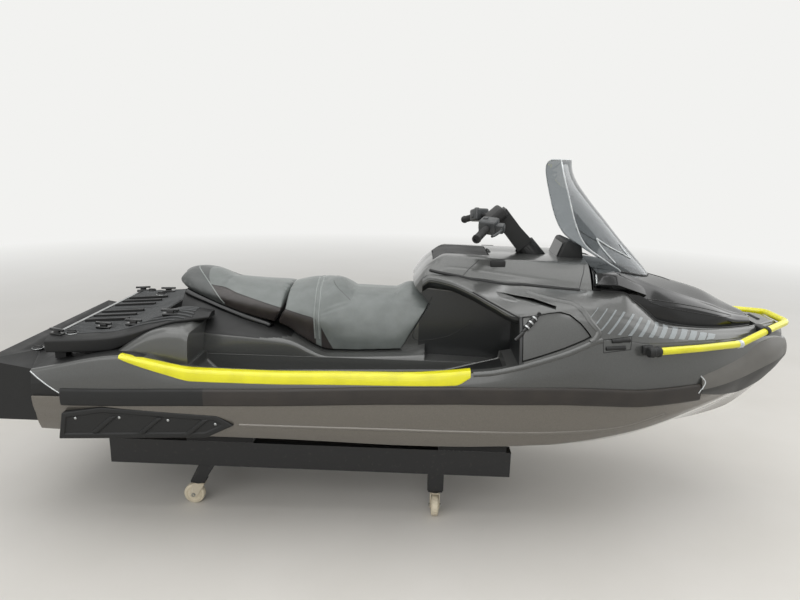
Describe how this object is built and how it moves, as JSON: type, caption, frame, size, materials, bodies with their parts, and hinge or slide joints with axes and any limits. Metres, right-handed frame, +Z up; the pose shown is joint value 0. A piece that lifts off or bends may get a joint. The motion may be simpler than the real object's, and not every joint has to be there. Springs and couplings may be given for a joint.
{
  "type": "personal watercraft on a wheeled display cradle",
  "caption": "Sit-astride touring watercraft with a tall windshield, cargo rack, stern platform and jet pump, on a steel cradle with swivel castors.",
  "frame": {"origin": "on the floor under the middle of the overall length, on the centre plane", "axes": "+X to the bow, +Y to port, +Z up"},
  "size_m": [3.73, 1.255, 1.688],
  "materials": {
    "hull_gelcoat": "glossy gelcoat, dark metallic grey",
    "deck_gelcoat": "glossy gelcoat, dark metallic grey",
    "dark_moulding": "moulded black plastic, fine grain",
    "gloss_black": "glossy black plastic",
    "bumper": "satin grey bumper moulding",
    "rub_band": "satin dark rubber",
    "acid_yellow": "glossy yellow plastic",
    "seat_vinyl": "marine vinyl, two greys",
    "smoked_glass": "clear smoked acrylic",
    "black_steel": "black paint on steel",
    "zinc_steel": "zinc plated steel",
    "castor_nylon": "cream nylon",
    "bunk_carpet": "black carpet on wood",
    "pump_aluminium": "cast aluminium",
    "stainless": "stainless steel",
    "engine_iron": "plain block",
    "grip_rubber": "ribbed rubber",
    "mirror_glass": "mirror glass",
    "display_glass": "glossy dark display"
  },
  "bodies": {
    "craft": {"hull": "hull_gelcoat", "deck": "deck_gelcoat", "footwell_mats": "dark_moulding", "rub_rails": "rub_band", "bow_bumper": "bumper", "seat_pedestal": "deck_gelcoat", "passenger_seat": "seat_vinyl", "driver_seat": "seat_vinyl", "seat_trim_bars": "gloss_black", "console": "deck_gelcoat", "front_shoulders": "deck_gelcoat", "glovebox_tub": "dark_moulding", "glovebox_hinge": "stainless", "side_vents": "dark_moulding", "pocket_straps": "grip_rubber", "knee_wings": "deck_gelcoat", "gunwale_rails": "acid_yellow", "sponsons": "dark_moulding", "rear_quarters": "deck_gelcoat", "cargo_rack": "dark_moulding", "rack_fins": "dark_moulding", "rack_edge_strip": "stainless", "accessory_sockets": "dark_moulding", "stern_platform": "dark_moulding", "bow_rail": "acid_yellow", "bow_rail_clamps": "dark_moulding", "hood_hinge": "stainless", "display": "display_glass", "steering_boss": "dark_moulding", "storage_bin": "dark_moulding", "engine_block": "engine_iron", "pump_housing": "pump_aluminium", "ride_plate": "dark_moulding", "intake_grate": "pump_aluminium", "cradle_beams": "black_steel", "cradle_crossbars": "black_steel", "cradle_bunks": "bunk_carpet", "castor_heads": "black_steel"},
    "glovebox_lid": {"glovebox_lid": "deck_gelcoat"},
    "hood": {"hood": "gloss_black", "windshield": "smoked_glass", "mirror_pods": "gloss_black", "mirror_glasses": "mirror_glass"},
    "steering": {"handlebar": "black_steel", "steering_riser": "dark_moulding", "grips": "grip_rubber", "control_levers": "dark_moulding"},
    "nozzle": {"nozzle": "pump_aluminium"},
    "bucket": {"reverse_bucket": "dark_moulding"},
    "impeller": {"impeller": "stainless"},
    "castor_fork_rear_port": {"castor_fork_rear_port": "zinc_steel"},
    "castor_wheel_rear_port": {"castor_wheel_rear_port": "castor_nylon"},
    "castor_fork_rear_starboard": {"castor_fork_rear_starboard": "zinc_steel"},
    "castor_wheel_rear_starboard": {"castor_wheel_rear_starboard": "castor_nylon"},
    "castor_fork_front_port": {"castor_fork_front_port": "zinc_steel"},
    "castor_wheel_front_port": {"castor_wheel_front_port": "castor_nylon"},
    "castor_fork_front_starboard": {"castor_fork_front_starboard": "zinc_steel"},
    "castor_wheel_front_starboard": {"castor_wheel_front_starboard": "castor_nylon"}
  },
  "joints": [
    {"name": "hood_hinge", "type": "hinge", "parent": "craft", "child": "hood", "pos_m": [1.622, 0, 0.966], "axis": [0, 1, 0], "range_deg": [0, 55]},
    {"name": "glovebox_hinge", "type": "hinge", "parent": "craft", "child": "glovebox_lid", "pos_m": [0.357, 0, 1.24419], "axis": [0, 1, 0], "range_deg": [0, 55]},
    {"name": "steering", "type": "hinge", "parent": "craft", "child": "steering", "pos_m": [0.56, 0, 1.248], "axis": [-0.6691, 0, 0.7431], "range_deg": [-22, 22]},
    {"name": "nozzle_pivot", "type": "hinge", "parent": "craft", "child": "nozzle", "pos_m": [-1.695, 0, 0.398], "axis": [0, 0, 1], "range_deg": [-20, 20]},
    {"name": "bucket_pivot", "type": "hinge", "parent": "craft", "child": "bucket", "pos_m": [-1.745, 0, 0.398], "axis": [0, -1, 0], "range_deg": [0, 85]},
    {"name": "impeller_shaft", "type": "hinge", "parent": "craft", "child": "impeller", "pos_m": [-1.486, 0, 0.398], "axis": [1, 0, 0], "continuous": true},
    {"name": "swivel_rear_port", "type": "hinge", "parent": "craft", "child": "castor_fork_rear_port", "pos_m": [-1.02, 0.3175, 0.12], "axis": [0, 0, 1], "continuous": true},
    {"name": "axle_rear_port", "type": "hinge", "parent": "castor_fork_rear_port", "child": "castor_wheel_rear_port", "pos_m": [-1.046, 0.3175, 0.05], "axis": [0, 1, 0], "continuous": true},
    {"name": "swivel_rear_starboard", "type": "hinge", "parent": "craft", "child": "castor_fork_rear_starboard", "pos_m": [-1.02, -0.3175, 0.12], "axis": [0, 0, 1], "continuous": true},
    {"name": "axle_rear_starboard", "type": "hinge", "parent": "castor_fork_rear_starboard", "child": "castor_wheel_rear_starboard", "pos_m": [-1.046, -0.3175, 0.05], "axis": [0, 1, 0], "continuous": true},
    {"name": "swivel_front_port", "type": "hinge", "parent": "craft", "child": "castor_fork_front_port", "pos_m": [0.134, 0.3175, 0.12], "axis": [0, 0, 1], "continuous": true},
    {"name": "axle_front_port", "type": "hinge", "parent": "castor_fork_front_port", "child": "castor_wheel_front_port", "pos_m": [0.134, 0.2915, 0.05], "axis": [1, 0, 0], "continuous": true},
    {"name": "swivel_front_starboard", "type": "hinge", "parent": "craft", "child": "castor_fork_front_starboard", "pos_m": [0.134, -0.3175, 0.12], "axis": [0, 0, 1], "continuous": true},
    {"name": "axle_front_starboard", "type": "hinge", "parent": "castor_fork_front_starboard", "child": "castor_wheel_front_starboard", "pos_m": [0.134, -0.3435, 0.05], "axis": [1, 0, 0], "continuous": true}
  ],
  "couplings": [
    {"joint": "nozzle_pivot", "follows": "steering", "ratio": -0.9}
  ]
}
